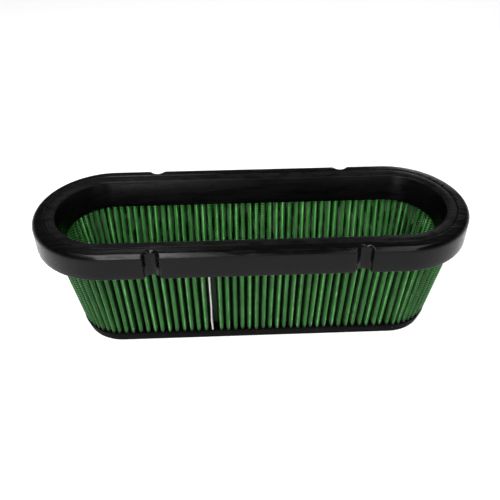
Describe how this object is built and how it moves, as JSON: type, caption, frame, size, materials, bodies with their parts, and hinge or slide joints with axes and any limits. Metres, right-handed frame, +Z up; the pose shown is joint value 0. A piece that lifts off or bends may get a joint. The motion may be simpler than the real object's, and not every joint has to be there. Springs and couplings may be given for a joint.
{
  "type": "air filter element",
  "caption": "Obround pleated air filter element with a notched moulded seal rim round its open top, tapered cotton-gauze pleats between wire meshes, and a closed base.",
  "frame": {"origin": "centre of the bounding box, on the rest plane under the base ring", "axes": "+X along the length to the right, +Y across the width to the rear, +Z up towards the open top; the seam strip is on the -Y side"},
  "size_m": [0.4, 0.137, 0.129],
  "materials": {
    "rim_rubber": "satin moulded polyurethane",
    "collar_plastic": "satin moulded",
    "mesh_green": "satin coated wire mesh",
    "gauze_green": "oiled woven cotton",
    "seam_white": "matt bonded strip",
    "base_rubber": "matt moulded polyurethane",
    "base_plastic": "matt"
  },
  "bodies": {
    "root": {"seal_rim": "rim_rubber", "collar": "collar_plastic", "outer_mesh": "mesh_green", "gauze_outer": "gauze_green", "gauze_inner": "gauze_green", "inner_mesh": "mesh_green", "seam_strip": "seam_white", "base_ring": "base_rubber", "base_plate": "base_plastic"}
  },
  "joints": []
}
